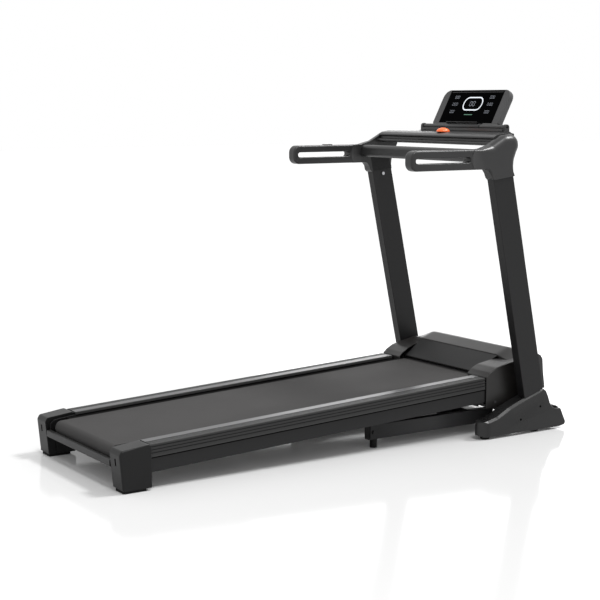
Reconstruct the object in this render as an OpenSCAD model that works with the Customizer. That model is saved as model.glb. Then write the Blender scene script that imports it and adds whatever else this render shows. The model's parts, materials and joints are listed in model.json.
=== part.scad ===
// Folding home treadmill. Millimetres, +Z up, +X to the user's right, +Y to the front (motor end).
// Lengths along Y are measured from the rear feet; the finished model is shifted so that its origin
// is the middle of its footprint, on the floor.

/* [Deck] */
// Upward slope of the deck towards the front, degrees
deck_rise = 2.8; // [0:0.1:4]
// Height of the underside of the deck frame above the floor, at the rear feet
deck_z0 = 50.2; // [45:0.1:60]
// Height of one steel side tube of the deck frame
frame_h = 49; // [40:1:60]
// Width of one steel side tube of the deck frame
frame_w = 30; // [25:1:40]
// Half distance over the outer faces of the side tubes
frame_x = 316; // [300:1:317]
// Height of the walking rails above the underside of the deck frame
rail_top = 95; // [90:1:100]
// Half distance over the outer faces of the side rails
rail_x = 322; // [320:1:323]
// Half distance between the inner edges of the side rails
rail_in = 250; // [248:1:256]
// Rear end of the side rails
rail_y0 = 110; // [109:1:120]
// Front end of the side rails
rail_y1 = 1497; // [1450:1:1500]
// Front end of the deck frame
frame_y1 = 1736; // [1700:1:1740]
// Half width of the running board
board_x = 272; // [260:1:280]
// Thickness of the running board
board_t = 18; // [15:0.5:20]
// Wall thickness of the steel tubes
tube_wall = 2; // [1.5:0.5:3]

/* [Belt and rollers] */
// Half width of the running belt
belt_x = 215; // [205:1:222]
// Half length of the roller shells
roller_x = 224; // [222:1:240]
// Thickness of the running belt
belt_t = 2.2; // [1.8:0.1:3]
// Radius of both rollers
roller_r = 24; // [22:0.5:26]
// Height of the roller axles above the underside of the deck frame
roller_z = 56.6; // [55:0.1:58]
// Position of the rear roller along the deck
rear_roller_y = 42; // [41:1:50]
// Position of the front roller along the deck
front_roller_y = 1580; // [1570:1:1585]
// Radius of the roller axles
axle_r = 8; // [6:0.5:9]
// Radius of the belt pulley on the front roller
pulley_r = 40; // [34:1:42]

/* [Motor] */
// Position of the motor shaft along the floor
motor_y = 1664; // [1660:1:1670]
// Height of the motor shaft
motor_z = 186; // [184:1:190]
// Radius of the motor housing
motor_r = 45; // [40:1:46]
// Radius of the flywheel
flywheel_r = 48; // [45:1:50]
// Radius of the motor pulley
motor_pulley_r = 14; // [12:1:18]

/* [Rear feet] */
// Half distance over the outer faces of the rear end caps
cap_x = 330; // [328:1:332]
// Width of one rear end cap
cap_w = 75; // [70:1:80]
// Wall thickness of the plastic covers
cover_wall = 3; // [2.5:0.5:4]

/* [Motor hood] */
// Half width of the motor hood
hood_x = 323; // [322:1:325]
// Half width of the raised middle of the hood
hood_crown_x = 235; // [220:1:240]
// Height of the hood's crown above the floor
hood_top = 304; // [295:1:310]
// Half width of the inset panel along its lower edge
panel_low_x = 212; // [200:1:220]

/* [Base] */
// Half distance over the outer faces of the base covers and of the handlebar arms
base_x = 390; // [388:1:395]
// Foremost point of the base
base_front = 1838; // [1830:1:1850]
// Rear end of the base legs under the deck
leg_y0 = 1012; // [1000:1:1040]
// Half distance between the middles of the base legs
leg_x = 245; // [230:1:250]
// Underside of the base legs
leg_z0 = 32; // [30:1:34]
// Top of the base legs
leg_z1 = 84; // [80:1:86]
// Radius of the transport wheels
wheel_r = 40; // [35:1:40]
// Position of the fold hinge from the rear feet
pivot_y = 1640; // [1635:1:1645]
// Height of the fold hinge
pivot_z = 112; // [111:1:113]

/* [Uprights] */
// Outer face of the uprights
upright_x = 385; // [380:1:386]
// Width of one upright tube
upright_w = 37; // [36:1:37]
// Depth of one upright tube, measured level
upright_d = 95; // [90:1:100]
// Lean of the uprights towards the user, degrees
upright_lean = 12.12; // [11:0.1:13]

/* [Handlebar] */
// Width of one handlebar arm
arm_w = 42; // [38:1:44]
// Underside of the handlebar arms
arm_z0 = 988; // [985:1:990]
// Top of the handlebar arms
arm_z1 = 1059; // [1055:1:1062]
// Rear end of the handlebar arms
arm_y0 = 1084; // [1080:1:1090]
// Joint between an arm and its shoulder
arm_y1 = 1362; // [1360:1:1380]
// Height of the slot through an arm
slot_h = 19; // [16:1:22]

/* [Console] */
// Top of the console bar
bar_top = 1113; // [1110:1:1115]
// Underside of the console bar
bar_bottom = 1069; // [1065:1:1072]
// Half width of the display tray
tray_x = 251; // [240:1:255]
// Position of the display hinge from the rear feet
hinge_y = 1632; // [1630:1:1640]
// Height of the display hinge
hinge_z = 1132; // [1131:1:1134]
// Half width of the display's case
display_x = 195; // [192:1:205]
// Backward tilt of the display at rest, degrees
display_tilt = 28; // [20:1:35]

/* [Hidden] */

$fn = 48;
rear_y = -9;
mid_y = (base_front + rear_y) / 2;
running_gap = 0.05;
free_gap = 0.3;
frame_in = frame_x - frame_w;
lean = tan(upright_lean);
upright_foot = 60;
upright_foot_y = 1648.5;
upright_top = 1050;
belt_in_r = roller_r + free_gap;
belt_out_r = belt_in_r + belt_t;
board_top = roller_z + belt_in_r - free_gap;
arm_in = base_x - arm_w;
slot_z = 1023.5;
slot_y0 = 1104;
slot_y1 = 1346;
key_x = -369;
key_y = [1240, 1264];
cover_in = 332;
wheel_y = 1786;
wheel_z = 50;
wheel_x = [352, 376];
pan_x = 276;
inlet_z = [140, 168];
switch_axis = [1732, 154];
strut_deck = [1060, 78];
strut_base = [1528, 67];
strut_vec = strut_base - strut_deck;
strut_angle = atan2(strut_vec[1], strut_vec[0]);
strut_len = norm(strut_vec);
drive_x = [-264, -250];
adjuster_x = 292.5;

plastic_black = [0.09, 0.09, 0.09];
steel_black = [0.13, 0.13, 0.14];
rubber = [0.06, 0.06, 0.06];
belt_grey = [0.2, 0.2, 0.2];
bright_steel = [0.7, 0.7, 0.72];

// Y along the floor to Y in the finished model
module shift() translate([0, -mid_y, 0]) children();
// Space of the inclined deck: Z from the underside of its frame
module deck_space() translate([0, 0, deck_z0]) rotate([deck_rise, 0, 0]) children();
// Right-hand shape, or its mirror image on the left
module side(s) if (s < 0) mirror([1, 0, 0]) children(); else children();
module both_sides() for (s = [-1, 1]) side(s) children();
module box(lo, hi) translate(lo) cube(hi - lo);
// Outline in Y and Z, extruded along X
module along_x(x0, x1) translate([x0, 0, 0]) rotate([90, 0, 90]) linear_extrude(x1 - x0) children();
// Outline in X and Z, extruded along Y
module along_y(y0, y1) translate([0, y1, 0]) rotate([90, 0, 0]) linear_extrude(y1 - y0) children();
module rod_x(r, x0, x1, y, z) translate([x0, y, z]) rotate([0, 90, 0]) cylinder(r = r, h = x1 - x0);
module rod_y(r, x, y0, y1, z) translate([x, y0, z]) rotate([-90, 0, 0]) cylinder(r = r, h = y1 - y0);
// Rectangle from lo to hi with rounded corners
module round_rect(lo, hi, r) {
    translate([lo[0] + r, lo[1]]) square([hi[0] - lo[0] - 2 * r, hi[1] - lo[1]]);
    translate([lo[0], lo[1] + r]) square([hi[0] - lo[0], hi[1] - lo[1] - 2 * r]);
    for (a = [lo[0] + r, hi[0] - r], b = [lo[1] + r, hi[1] - r]) translate([a, b]) circle(r);
}
module square_at(lo, hi) translate(lo) square(hi - lo);
// Hollow rectangular tube from lo to hi, open along axis 0 (X) or 1 (Y)
module box_tube(lo, hi, axis, wall = tube_wall) {
    inset = [axis == 0 ? -1 : wall, axis == 1 ? -1 : wall, wall];
    difference() {
        box(lo, hi);
        box(lo + inset, hi - inset);
    }
}

// ---- Deck ----

// Side tube with the ledge under the running board, the lug of the fold hinge and, at its rear end,
// the bracket of the tension bolt
module deck_side(s) color(steel_black) shift() side(s) difference() {
    union() {
        deck_space() {
            box_tube([frame_in, 14, 0], [frame_x, frame_y1, frame_h], 1);
            box([rail_in - 2, 110, frame_h - 4], [frame_in, 1500, frame_h]);
            box([frame_in, 14, frame_h], [adjuster_x + 8, 18, roller_z + 9]);
        }
        along_x(298, 308) {
            translate([pivot_y, pivot_z]) circle(16);
            translate([pivot_y - 16, pivot_z]) square([32, 20.5]);
        }
    }
    rod_x(6.05, 290, 315, pivot_y, pivot_z);
    deck_space() {
        rod_x(axle_r, 280, 300, rear_roller_y, roller_z);
        rod_x(axle_r, 280, 300, front_roller_y, roller_z);
        rod_y(4.05, adjuster_x, 10, 20, roller_z);
    }
}

module deck_crossmembers() color(steel_black) shift() {
    deck_space() for (y = [330, 690, 1046, 1500])
        box_tube([-frame_in, y, 0], [frame_in, y + 32, 26], 0);
    for (x = [-17, 12]) along_x(x, x + 5) difference() {
        union() {
            translate(strut_deck) circle(12);
            translate(strut_deck + [-12, 0]) square([24, 24]);
        }
        translate(strut_deck) circle(5.05);
    }
    rod_x(5, -19, 19, strut_deck[0], strut_deck[1]);
    for (x = [-22, 19]) rod_x(8, x, x + 3, strut_deck[0], strut_deck[1]);
}

// Plate between the side tubes that carries the motor and its controller
module motor_plate() color(steel_black) shift() difference() {
    deck_space() {
        box([-frame_in, 1606, -1], [frame_in, 1730, 3]);
        box([-frame_in, 1606, -1], [frame_in, 1610, 14]);
        for (x = [-70, 40]) box([x, 1636, 3], [x + 30, 1706, 26]);
    }
    rod_x(motor_r + running_gap, -90, 80, motor_y, motor_z);
}

// Walking board; its front left corner is cut away round the drive pulley
module running_board() color([0.3, 0.22, 0.15]) shift() deck_space() difference() {
    along_x(-board_x, board_x) round_rect([72, board_top - board_t], [1548, board_top], 4);
    box([-board_x - 1, front_roller_y - pulley_r - 8, 0], [drive_x[1] + 3, 1549, 100]);
}

module board_cushions() color(rubber) shift() deck_space()
    both_sides() for (y = [180 : 300 : 1380])
        translate([261, y, frame_h]) cylinder(d1 = 20, d2 = 17, h = board_top - board_t - frame_h);

// Aluminium walking rail: ribbed skirt, smooth inner strip and grooved outer tread
module side_rail(s) color([0.35, 0.35, 0.36]) shift() side(s) deck_space()
    along_y(rail_y0, rail_y1) difference() {
        union() {
            translate([rail_in, rail_top - 3]) square([rail_x - rail_in, 3]);
            translate([rail_x - 3, frame_h + 1]) square([3, rail_top - frame_h - 2]);
            translate([rail_in, rail_top - 10]) square([3, 8]);
            translate([300, frame_h]) square([3, rail_top - frame_h - 2]);
        }
        for (i = [0 : 5]) translate([rail_x - 1, frame_h + 7 + 6 * i]) square([2, 2.6]);
        for (i = [0 : 4]) translate([287 + 6 * i, rail_top - 0.8]) square([3, 2]);
    }

module rear_cap_outline() polygon([[1, 9], [-9, 127], [-7, 136], [1, 142], [94, 151.5], [104, 152],
    [104, 9]]);
module rear_cap(s) color(plastic_black) shift() side(s) difference() {
    union() {
        along_x(cap_x - cap_w, cap_x) rear_cap_outline();
        along_x(cap_x - cap_w - 6, cap_x - cap_w + 1) polygon([[30, 14], [70, 12], [72, 34], [104, 36],
            [104, 142], [34, 134], [14, 129], [8, 118], [8, 92], [14, 80], [30, 72]]);
    }
    along_x(cap_x - cap_w + cover_wall, cap_x - cover_wall)
        polygon([[5, 12], [-5, 126], [-3, 133], [3, 138.5], [94, 148], [105, 148.5], [105, 12]]);
    along_x(cap_x - cap_w - 7, cap_x - cap_w + 4) polygon([[76, 40], [110, 42], [110, 152], [76, 152]]);
    deck_space() rod_x(axle_r, 240, 260, rear_roller_y, roller_z);
    along_y(-12, 0) round_rect([adjuster_x - 2, 87], [adjuster_x + 2, 111], 1.5);
    along_x(cap_x - cap_w - 7, cap_x - cap_w + 4) polygon([[20, 128.3], [20, 100], [76, 100], [76, 152]]);
}

module rear_foot_pads() color(rubber) shift() both_sides()
    translate([(2 * cap_x - cap_w) / 2, 47, 0]) linear_extrude(9)
        round_rect([-33, -41], [33, 41], 8);

// Bar across the rear end, below and behind the belt's turn
module rear_crossbar() color(plastic_black) shift()
    along_x(-(cap_x - cap_w - 6), cap_x - cap_w - 6) round_rect([-6, 76], [10, 104], 3);

// ---- Belt, rollers and drive ----

module belt_loop(r) {
    for (y = [rear_roller_y, front_roller_y]) translate([y, roller_z]) circle(r);
    translate([rear_roller_y, roller_z - r]) square([front_roller_y - rear_roller_y, 2 * r]);
}
module running_belt() color(belt_grey) shift() deck_space() along_x(-belt_x, belt_x) difference() {
    belt_loop(belt_out_r);
    belt_loop(belt_in_r);
}

module roller_shell() difference() {
    rod_x(roller_r, -roller_x, roller_x, 0, 0);
    rod_x(roller_r - 3, 20 - roller_x, roller_x - 20, 0, 0);
    rod_x(axle_r + running_gap, -250, 250, 0, 0);
}
module rear_roller() color(bright_steel) shift() deck_space()
    translate([0, rear_roller_y, roller_z]) roller_shell();

module front_roller() color(bright_steel) shift() deck_space()
    translate([0, front_roller_y, roller_z]) {
        roller_shell();
        difference() {
            union() {
                rod_x(18, drive_x[1], -roller_x, 0, 0);
                rod_x(pulley_r, drive_x[0], drive_x[1], 0, 0);
            }
            rod_x(axle_r + running_gap, -270, 20 - roller_x, 0, 0);
        }
    }

module axle_pin(y) difference() {
    rod_x(axle_r, -298, 298, y, roller_z);
    both_sides() rod_y(4.05, adjuster_x, y - 12, y + 12, roller_z);
}
module rear_axle() color(bright_steel) shift() deck_space() axle_pin(rear_roller_y);
module front_axle() color(bright_steel) shift() deck_space() axle_pin(front_roller_y);

// Tension bolts, reached through the slots in the rear end caps
module roller_adjusters() color(bright_steel) shift() deck_space() both_sides() {
    rod_y(4, adjuster_x, 14, rear_roller_y + 11, roller_z);
    translate([adjuster_x, 8, roller_z]) rotate([-90, 0, 0]) cylinder(r = 6.5, h = 6, $fn = 6);
}

module motor() color([0.16, 0.16, 0.17]) shift() difference() {
    union() {
        rod_x(motor_r, -85, 75, motor_y, motor_z);
        rod_x(motor_r - 5, -100, 95, motor_y, motor_z);
    }
    rod_x(axle_r + running_gap, -101, 96, motor_y, motor_z);
    rod_x(motor_r - 8, -70, 60, motor_y, motor_z);
}
module motor_rotor() color(bright_steel) shift() {
    rod_x(axle_r, drive_x[0] - 2, 100, motor_y, motor_z);
    rod_x(motor_pulley_r, drive_x[0], drive_x[1], motor_y, motor_z);
    rod_x(flywheel_r, -225, -198, motor_y, motor_z);
    rod_x(motor_r - 11, -62, 52, motor_y, motor_z);
}

// Centre of the front roller, in Y and Z above the floor
roller_c = [front_roller_y * cos(deck_rise) - roller_z * sin(deck_rise),
    deck_z0 + front_roller_y * sin(deck_rise) + roller_z * cos(deck_rise)];
module drive_loop(grow) hull() {
    translate(roller_c) circle(pulley_r + grow);
    translate([motor_y, motor_z]) circle(motor_pulley_r + grow);
}
module drive_belt() color(rubber) shift() along_x(drive_x[0] + 1, drive_x[1] - 1) difference() {
    drive_loop(free_gap + 2.5);
    drive_loop(free_gap);
}

// Circuit board on four posts, with its cooler, two capacitors and a terminal block
module motor_controller() color([0.1, 0.28, 0.14]) shift() deck_space() {
    box([120, 1620, 10], [262, 1708, 13]);
    for (x = [126, 256], y = [1626, 1702]) translate([x, y, 3]) cylinder(r = 4, h = 7);
    for (i = [0 : 5]) box([140, 1630 + 8 * i, 13], [200, 1634 + 8 * i, 43]);
    for (y = [1640, 1668]) translate([230, y, 13]) cylinder(r = 12, h = 38);
    box([205, 1686, 13], [255, 1704, 27]);
}

// ---- Motor hood ----

// Front view of the hood; grow moves its walls outwards
module hood_front(grow) polygon([[-hood_x - grow, 100], [-hood_x - grow, 262], [-hood_x + 6, 270 + grow],
    [-hood_crown_x, hood_top + grow], [hood_crown_x, hood_top + grow], [hood_x - 6, 270 + grow],
    [hood_x + grow, 262], [hood_x + grow, 100]]);
// Slope of the wings, from the rail ends up to the crown
module hood_wings(grow) polygon([[1498 - grow, 100], [1498 - grow, 219 + grow], [1514, 234 + grow],
    [1545, 250 + grow], [1590, 261 + grow], [1650, 272 + grow], [1720, 272 + grow],
    [1740 + grow, 250], [1740 + grow, 100]]);
// Slope of the middle, behind the inset panel
module hood_slope(grow) polygon([[1531 - grow, 100], [1531 - grow, 224 + grow], [1623, 280 + grow],
    [1686, hood_top + grow], [1712, hood_top - 8 + grow], [1733 + grow, hood_top - 34 + grow],
    [1740 + grow, 234], [1740 + grow, 100]]);
module hood_body(grow) {
    intersection() {
        along_x(-hood_x - grow, hood_x + grow) hood_wings(grow);
        along_y(1400, 1760) hood_front(grow);
    }
    intersection() {
        along_x(-hood_x, hood_x) hood_slope(grow);
        along_y(1400, 1760) hood_front(grow);
    }
}
// Plan of the middle bay, whose sides spread towards the front
module hood_bay() linear_extrude(400) polygon([[-panel_low_x, 1400], [-panel_low_x, 1531],
    [-hood_crown_x, 1624], [hood_crown_x, 1624], [panel_low_x, 1531], [panel_low_x, 1400]]);
module motor_hood() color(plastic_black) shift() difference() {
    hood_body(0);
    hood_body(-cover_wall);
    hood_bay();
    both_sides() {
        box([frame_in - 40, 1490, 90], [hood_x - cover_wall, 1502, 207]);
        for (y = hood_screw_y) rod_x(2.6, hood_x - 5, hood_x + 1, y, hood_screw_z);
        for (x = hood_screw_x) rod_y(2.6, x, 1730, 1741, hood_screw_z);
    }
    box([-frame_in + 39, 1490, 90], [frame_in - 39, 1502, 212]);
    along_y(1730, 1745) square_at([158, inlet_z[0]], [206, inlet_z[1]]);
    along_y(1730, 1745) square_at([216, inlet_z[0]], [236, inlet_z[1]]);
}

// Dark panel sunk into the hood's sloping rear face
module hood_panel() color([0.14, 0.14, 0.15]) shift() intersection() {
    along_x(-hood_crown_x, hood_crown_x) polygon([[1531, 218], [1531, 222], [1623.5, 277],
        [1623.5, 273]]);
    difference() {
        hood_bay();
        box([-300, 1300, -1], [300, 1530, 500]);
    }
}

module belly_pan() color(plastic_black) shift() difference() {
    along_x(-pan_x, pan_x) polygon([[1520, 112], [1546, 100], [1738 - cover_wall, 106],
        [1738 - cover_wall, 130], [1733, 130], [1733, 110], [1546, 104], [1522, 116]]);
    for (x = [-220 : 40 : 220]) box([x, 1600, 90], [x + 12, 1700, 120]);
}

hood_screw_z = 122;
hood_screw_x = [90, 250];
hood_screw_y = [1540, 1690];
module hood_screws() color(steel_black) shift() both_sides() {
    for (y = hood_screw_y) {
        rod_x(2.5, hood_x - 5, hood_x, y, hood_screw_z);
        rod_x(5, hood_x, hood_x + 2, y, hood_screw_z);
    }
    for (x = hood_screw_x) {
        rod_y(2.5, x, 1736, 1740, hood_screw_z);
        rod_y(5, x, 1740, 1742, hood_screw_z);
    }
}

// Appliance inlet with three blades, set into the front of the hood
module power_inlet() color([0.05, 0.05, 0.05]) shift() {
    difference() {
        box([158, 1712, inlet_z[0]], [206, 1742, inlet_z[1]]);
        box([166, 1716, inlet_z[0] + 5], [198, 1743, inlet_z[1] - 5]);
    }
    for (blade = [[172, 150], [181, 155], [190, 150]])
        box([blade[0], 1714, blade[1]], [blade[0] + 2, 1732, blade[1] + 5]);
}

// Mains rocker; it turns about X in the hood's opening
module power_switch() color([0.5, 0.05, 0.05]) shift() {
    along_x(218, 234) translate(switch_axis) polygon([[-5, -9], [-5, 9], [9, 10], [6.5, 0], [6.5, -10]]);
    rod_x(2.5, 216.3, 235.7, switch_axis[0], switch_axis[1]);
}

// ---- Base ----

// Hollow foot beam beside the deck, with the wheel fork at its front
module base_side(s) color(steel_black) shift() side(s) {
    box_tube([338, 1440, 12], [384, 1738, 60], 1);
    box_tube([336, 1739, 12], [346, 1824, 48], 1);
    box([336, 1737, 12], [384, 1740, 60]);
    for (x = [346, 378]) difference() {
        along_x(x, x + 4) {
            translate([1738, 30]) square([wheel_y - 1738, 30]);
            translate([wheel_y, wheel_z]) circle(14);
        }
        rod_x(5, x - 1, x + 5, wheel_y, wheel_z);
    }
}

module base_cross_front() color(steel_black) shift()
    box_tube([-336, 1786, 12], [336, 1824, 48], 0);

// Cross tube with the fold hinge's brackets and the strut's clevis
module base_cross_rear() color(steel_black) shift() {
    box_tube([-338, 1586, 12], [338, 1624, 50], 0);
    both_sides() {
        for (x = [287.5, 311]) along_x(x, x + 8) difference() {
            union() {
                translate([pivot_y, pivot_z]) circle(16);
                polygon([[1586, 50], [1586, 62], [pivot_y - 12, pivot_z + 11], [pivot_y + 16, pivot_z],
                    [1624, 50]]);
            }
            translate([pivot_y, pivot_z]) circle(6);
        }
        box([287.5, 1586, 50], [319, 1620, 62]);
    }
    for (x = [-19, 12]) along_x(x, x + 7) difference() {
        polygon([[1586, 14], [1586, 48], [1560, 90], [1506, 90], [1506, 48], [1540, 14]]);
        translate(strut_base) circle(8.5);
    }
}

module base_leg(s) color(steel_black) shift() side(s) {
    box_tube([leg_x - 14, leg_y0, leg_z0], [leg_x + 14, 1586, leg_z1], 1);
    box([leg_x - 14, leg_y0 - 3, leg_z0], [leg_x + 14, leg_y0, leg_z1]);
    box([leg_x + 14, leg_y0, leg_z0 + 4], [leg_x + 18, leg_y0 + 30, leg_z1 + 6]);
    rod_x(7, leg_x + 18, leg_x + 23, leg_y0 + 15, (leg_z0 + leg_z1) / 2);
}

module fold_pins() color(bright_steel) shift() both_sides() {
    rod_x(6, 282, 319.5, pivot_y, pivot_z);
    rod_x(9, 279, 282, pivot_y, pivot_z);
}

module base_pads() color(rubber) shift() both_sides() {
    for (y = [1462, 1700]) translate([361, y, 0]) cylinder(r = 17, h = 12);
    translate([leg_x, leg_y0 + 26, 0]) cylinder(r = 13, h = leg_z0);
}

// Side view of the moulded base cover
module cover_outline() polygon([[1413, 9], [1413, 64], [1455, 70], [1499, 80], [1556, 109],
    [1604, 127], [1653, 143], [1700, 157], [1722, 164], [1736, 155], [1746, 132], [1757, 104],
    [1768, 92], [1776, 82], [1812, 78], [base_front, 24], [base_front - 5, 14],
    [base_front - 28, 9]]);
module cover_plan(inset) linear_extrude(400)
    round_rect([cover_in - 20, 1413 + inset], [base_x - inset, base_front + 40], 36 - inset);
module cover_hollow() intersection() {
    along_x(cover_in + cover_wall, base_x - cover_wall) intersection() {
        translate([0, -cover_wall]) cover_outline();
        translate([-cover_wall, 0]) cover_outline();
        translate([cover_wall, 0]) cover_outline();
    }
    cover_plan(cover_wall);
}
module base_cover(s) color(plastic_black) shift() side(s) difference() {
    intersection() {
        along_x(cover_in, base_x) cover_outline();
        cover_plan(0);
    }
    cover_hollow();
    box([cover_in - 1, 1438, -1], [base_x - cover_wall, 1826, 13]);
    box([cover_in - 1, 1438, -1], [cover_in + cover_wall + 1, 1826, 52]);
    upright_prism(upright_x - upright_w - 1, upright_x + 0.6, 0.6, 40, 300);
    box([wheel_x[0] - 3, wheel_y - wheel_r - 3, 40], [wheel_x[1] + 3, wheel_y, 200]);
    rod_x(wheel_r + 3, wheel_x[0] - 3, wheel_x[1] + 3, wheel_y, wheel_z);
    for (p = cover_screw_points) rod_x(4, base_x - 2, base_x + 1, p[0], p[1]);
}
cover_screw_points = [[1611, 58], [1707, 97]];
module cover_screws() color(steel_black) shift() both_sides()
    for (p = cover_screw_points) rod_x(3.6, base_x - 2, base_x - 0.8, p[0], p[1]);

module transport_wheel(s) color(rubber) shift() side(s) difference() {
    union() {
        rod_x(wheel_r, wheel_x[0] + 3, wheel_x[1] - 3, wheel_y, wheel_z);
        rod_x(wheel_r - 3, wheel_x[0], wheel_x[1], wheel_y, wheel_z);
    }
    rod_x(5 + running_gap, 340, 390, wheel_y, wheel_z);
    for (x = [wheel_x[0] - 1, wheel_x[1] - 3]) difference() {
        rod_x(wheel_r - 8, x, x + 4, wheel_y, wheel_z);
        rod_x(12, x, x + 4, wheel_y, wheel_z);
    }
}
module wheel_axles() color(bright_steel) shift() both_sides() {
    rod_x(5, 346, 382, wheel_y, wheel_z);
    rod_x(8, 382, 385, wheel_y, wheel_z);
}

// ---- Gas strut ----

module strut_space() translate([0, strut_deck[0], strut_deck[1]]) rotate([strut_angle, 0, 0]) children();
module strut_cylinder() color([0.12, 0.12, 0.12]) shift() strut_space() difference() {
    union() {
        rod_x(11, -7, 7, 0, 0);
        rod_y(11, 0, 8, 250, 0);
        rod_y(12.5, 0, 244, 254, 0);
    }
    rod_x(5 + running_gap, -8, 8, 0, 0);
    rod_y(5 + running_gap, 0, 60, 255, 0);
}
module strut_rod() color(bright_steel) shift() strut_space() {
    rod_y(5, 0, 70, strut_len - 8, 0);
    difference() {
        rod_x(11, -7, 7, strut_len, 0);
        rod_x(5, -8, 8, strut_len, 0);
    }
}

// ---- Uprights ----

// Leaning prism of an upright's outline, grown by g, between two heights
module upright_prism(x0, x1, g, z0, z1) {
    y0 = upright_foot_y - (z0 - upright_foot) * lean;
    y1 = upright_foot_y - (z1 - upright_foot) * lean;
    along_x(x0, x1) polygon([[y0 - g, z0], [y0 + upright_d + g, z0], [y1 + upright_d + g, z1],
        [y1 - g, z1]]);
}
module upright(s) color(steel_black) shift() side(s) difference() {
    upright_prism(upright_x - upright_w, upright_x, 0, upright_foot, upright_top);
    upright_prism(upright_x - upright_w + tube_wall, upright_x - tube_wall, -tube_wall,
        upright_foot - 1, upright_top + 1);
}

// Cover over the console's cable, in front of the foot of the right upright
module cable_cover() color(plastic_black) shift() difference() {
    along_x(upright_x - upright_w + 1, upright_x - 0.5) polygon([[1650, 298], [1693, 298],
        [1706, 292], [1716, 277], [1720, 232], [1728, 178], [1730, 165.5], [1700, 165.5]]);
    upright_prism(upright_x - upright_w, upright_x, 0.2, 100, 400);
}

// ---- Handlebar ----

module arm(s) color(plastic_black) shift() side(s) difference() {
    along_x(arm_in, base_x) difference() {
        union() {
            round_rect([arm_y0, arm_z0], [arm_y0 + 120, arm_z1], 26);
            translate([arm_y0 + 60, arm_z0]) square([arm_y1 - arm_y0 - 60, arm_z1 - arm_z0]);
        }
        round_rect([slot_y0, slot_z - slot_h / 2], [slot_y1, slot_z + slot_h / 2], 9);
    }
    if (s < 0) for (y = key_y) box([-key_x - 8.3, y - 8.3, arm_z1 - 6], [-key_x + 8.3, y + 8.3, arm_z1 + 1]);
}

// Quick keys in the top of the left arm
module quick_key(y) color([0.25, 0.25, 0.25]) shift() {
    translate([key_x, y, arm_z1 - 4]) linear_extrude(7) round_rect([-8, -8], [8, 8], 3);
}

module shoulder(s) color(plastic_black) shift() side(s) difference() {
    along_x(arm_in, base_x) polygon([[arm_y1, arm_z0], [arm_y1, arm_z1], [1404, 1060.5], [1430, 1066],
        [1456, 1078], [1483, 1093], [1505, 1106], [1522, 1112], [1535, 1114], [1546, 1113.5],
        [1561, 1109], [1574, 1099], [1580, 1086], [1580, 1064], [1572, 1046], [1560, 1024],
        [1552, 1003], [1549.5, 980], [1552, 962], [1455, 950], [1447, 958], [1441, 974], [1432, 986]]);
    upright_prism(upright_x - upright_w - 0.2, upright_x + 0.2, 0.3, 940, upright_top + 0.3);
    rod_x(4.5, upright_x, base_x + 1, 1536, 980);
}

module shoulder_bolts() color(bright_steel) shift() both_sides() {
    rod_x(6.5, upright_x - upright_w - 3.5, upright_x - upright_w, 1508, 943);
    rod_x(4, upright_x, base_x - 2, 1536, 980);
}

module cross_tube() color(steel_black) shift() along_x(-arm_in, arm_in) difference() {
    round_rect([1400, 1011], [1438, 1058], 10);
    round_rect([1402.5, 1013.5], [1435.5, 1055.5], 8);
}

// ---- Console ----

module bar_outline() polygon([[1482, bar_bottom], [1477, 1073], [1477, 1078], [1481, 1081], [1492, 1082],
    [1494, 1092], [1485, 1095], [1486, 1100], [1497, 1107], [1514, 1111.5], [1530, bar_top],
    [1578, bar_top], [1581, 1108], [1581, bar_bottom]]);
key_hole = [0, 1532];
module console_bar() color(plastic_black) shift() difference() {
    along_x(-arm_in, arm_in) bar_outline();
    along_x(-arm_in + 3, arm_in - 3) polygon([[1497, bar_bottom + 3], [1498, 1102], [1516, 1108],
        [1530, bar_top - 3], [1578, bar_top - 3], [1578, bar_bottom + 3]]);
    translate([key_hole[0], key_hole[1], 1100]) cylinder(r = 9, h = 20);
}

// Shelf in front of the bar with the fixed middle barrel of the display hinge
module console_tray() color(plastic_black) shift() {
    difference() {
        along_x(-tray_x, tray_x) polygon([[1581, 1086], [1581, 1112], [1612, 1114], [1626, 1119],
            [1640, 1119], [1654, 1112], [1662, 1098], [1650, 1088]]);
        along_x(-tray_x + 3, tray_x - 3) polygon([[1584, 1089], [1584, 1109], [1612, 1111],
            [1624, 1115.5], [1640, 1115.5], [1651, 1110], [1657, 1099], [1648, 1091]]);
    }
    difference() {
        union() {
            rod_x(10.5, -100, 100, hinge_y, hinge_z);
            along_x(-100, 100) translate([hinge_y - 6, 1115]) square([12, 12]);
            both_sides() {
                rod_x(11, 238, tray_x, hinge_y, hinge_z);
                along_x(238, tray_x) translate([hinge_y - 11, 1112]) square([22, 20]);
            }
        }
        rod_x(4, -260, 260, hinge_y, hinge_z);
    }
}

// Space of the display: Y towards its back, Z up along its face, origin on its hinge
module display_space() translate([0, hinge_y, hinge_z]) rotate([-display_tilt, 0, 0]) children();
module display_outline() polygon([[-display_x, 13], [-display_x, 116], [-display_x + 4, 134],
    [-display_x + 16, 149], [-display_x + 34, 156], [display_x - 34, 156], [display_x - 16, 149],
    [display_x - 4, 134], [display_x, 116], [display_x, 13]]);
module display_housing() color(plastic_black) shift() display_space() {
    difference() {
        intersection() {
            along_y(-3, 24) display_outline();
            along_x(-display_x - 1, display_x + 1) polygon([[-3, 12], [-3, 158], [8, 158], [24, 138], [24, 40], [12, 12]]);
        }
        along_y(-4, -0.5) square_at([-158, 15], [158, 150]);
        along_x(-display_x + 5, display_x - 5)
            polygon([[3, 20], [3, 136], [10, 136], [20, 128], [20, 44], [8, 20]]);
    }
    both_sides() difference() {
        union() {
            rod_x(9, 101, 237, 0, 0);
            along_x(108, display_x - 3) square_at([-3, 4], [9, 15]);
        }
        rod_x(4, 90, 240, 0, 0);
    }
    rod_x(4 - running_gap, -250, 250, 0, 0);
    along_x(-100, 86) square_at([-14, 11.5], [-2, 14.5]);
}

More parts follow.
